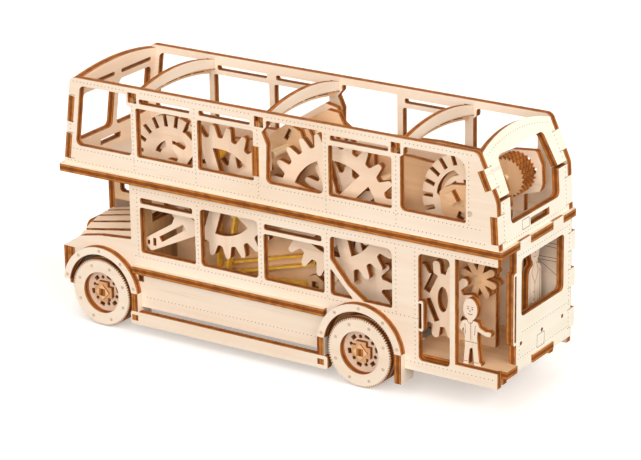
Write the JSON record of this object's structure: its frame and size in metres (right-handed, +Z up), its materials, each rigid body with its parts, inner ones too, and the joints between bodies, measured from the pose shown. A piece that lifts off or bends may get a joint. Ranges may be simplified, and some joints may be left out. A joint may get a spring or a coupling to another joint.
{
  "type": "wooden mechanical model double decker bus",
  "caption": "Laser-cut plywood model of a half-cab double decker bus with open rear platform, rolling wheels and a visible gear train.",
  "frame": {"origin": "middle of the footprint, on the surface that the wheels stand on", "axes": "+X towards the bonnet, +Y towards the side with the open platform, +Z up"},
  "size_m": [0.276, 0.0834, 0.1408],
  "materials": {
    "plywood": "laser-cut birch plywood with burnt edges",
    "dowel": "turned hardwood dowel",
    "rubber_band": "amber elastic band"
  },
  "bodies": {
    "root": {"bonnet_formers": "plywood", "bonnet_slats": "plywood", "brackets": "plywood", "brake_lever": "plywood", "cab_front": "plywood", "cab_side_wall": "plywood", "chassis_rails": "plywood", "cross_members": "plywood", "display_gear": "plywood", "fender_uprights": "plywood", "front_fenders": "plywood", "headlamps": "plywood", "lever_arm": "plywood", "lower_rear_wall": "plywood", "lower_side_far": "plywood", "lower_side_near": "plywood", "mechanism_plate_far": "plywood", "mechanism_plate_near": "plywood", "nose_backing": "plywood", "nose_plate": "plywood", "platform_figures": "plywood", "platform_floor": "plywood", "radiator_grille": "plywood", "ratchet_drum": "plywood", "rear_disc": "plywood", "rear_fenders": "plywood", "roof_arch_leaves_front": "plywood", "roof_arch_leaves_rear": "plywood", "rubber_bands": "rubber_band", "saloon_bulkhead": "plywood", "saloon_floor": "plywood", "star_gears": "plywood", "step_rails": "plywood", "tie_rods": "dowel", "upper_deck": "plywood", "upper_front_wall": "plywood", "upper_rear_wall_bottom": "plywood", "upper_rear_wall_top": "plywood", "upper_side_far": "plywood", "upper_side_near": "plywood", "waist_strips": "plywood"},
    "front_wheels": {"front_wheel_rings": "plywood", "front_wheel_hubs": "plywood", "front_axle_locks": "plywood", "front_axle": "plywood"},
    "rear_wheels": {"rear_wheel_rings": "plywood", "rear_wheel_hubs": "plywood", "rear_axle_locks": "plywood", "rear_axle": "plywood", "axle_gear": "plywood"},
    "idler": {"idler_gear": "plywood", "idler_arbor": "dowel"},
    "drive": {"drive_gear": "plywood", "drive_pinion": "plywood", "drive_arbor": "dowel"},
    "second": {"second_gear": "plywood", "second_pinion": "plywood", "second_arbor": "dowel"},
    "disc": {"disc_gear": "plywood", "disc_arbor": "dowel"}
  },
  "joints": [
    {"name": "front_wheels_roll", "type": "hinge", "parent": "root", "child": "front_wheels", "pos_m": [0.108, 0, 0.019], "axis": [0, 1, 0], "continuous": true},
    {"name": "rear_wheels_roll", "type": "hinge", "parent": "root", "child": "rear_wheels", "pos_m": [-0.0564, 0, 0.019], "axis": [0, 1, 0], "continuous": true},
    {"name": "idler_turn", "type": "hinge", "parent": "root", "child": "idler", "pos_m": [-0.04094, 0, 0.04765], "axis": [0, 1, 0], "continuous": true},
    {"name": "drive_turn", "type": "hinge", "parent": "root", "child": "drive", "pos_m": [-0.031, 0, 0.0867], "axis": [0, 1, 0], "continuous": true},
    {"name": "second_turn", "type": "hinge", "parent": "root", "child": "second", "pos_m": [0.0402, 0, 0.08297], "axis": [0, 1, 0], "continuous": true},
    {"name": "disc_turn", "type": "hinge", "parent": "root", "child": "disc", "pos_m": [0.0763, 0, 0.09197], "axis": [0, 1, 0], "continuous": true}
  ],
  "couplings": [
    {"joint": "idler_turn", "follows": "rear_wheels_roll", "ratio": -0.75},
    {"joint": "drive_turn", "follows": "rear_wheels_roll", "ratio": 0.64286},
    {"joint": "second_turn", "follows": "rear_wheels_roll", "ratio": -0.7013},
    {"joint": "disc_turn", "follows": "rear_wheels_roll", "ratio": 0.50093}
  ]
}
